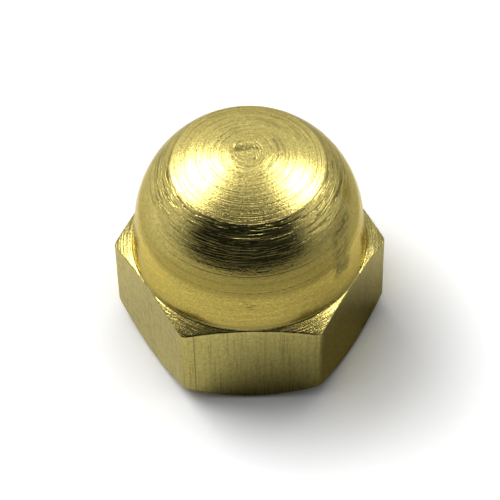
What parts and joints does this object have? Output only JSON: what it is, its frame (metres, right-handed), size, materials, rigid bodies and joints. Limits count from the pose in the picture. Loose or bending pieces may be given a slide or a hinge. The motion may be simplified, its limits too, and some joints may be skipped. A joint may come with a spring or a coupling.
{
  "type": "cap nut",
  "caption": "Domed brass cap nut turned from hexagon bar, with a blind tapped hole that closes over and protects a bolt or stud end.",
  "frame": {"origin": "centre of the flat seat, on the thread's axis", "axes": "+Z along the thread's axis from the seat to the nose, X through two opposite corners of the hexagon, Y through two opposite flats"},
  "size_m": [0.0196, 0.017, 0.0173],
  "materials": {
    "brass": "bright turned crown with lathe marks, drawn flats"
  },
  "bodies": {
    "root": {"cap_nut": "brass"}
  },
  "joints": []
}
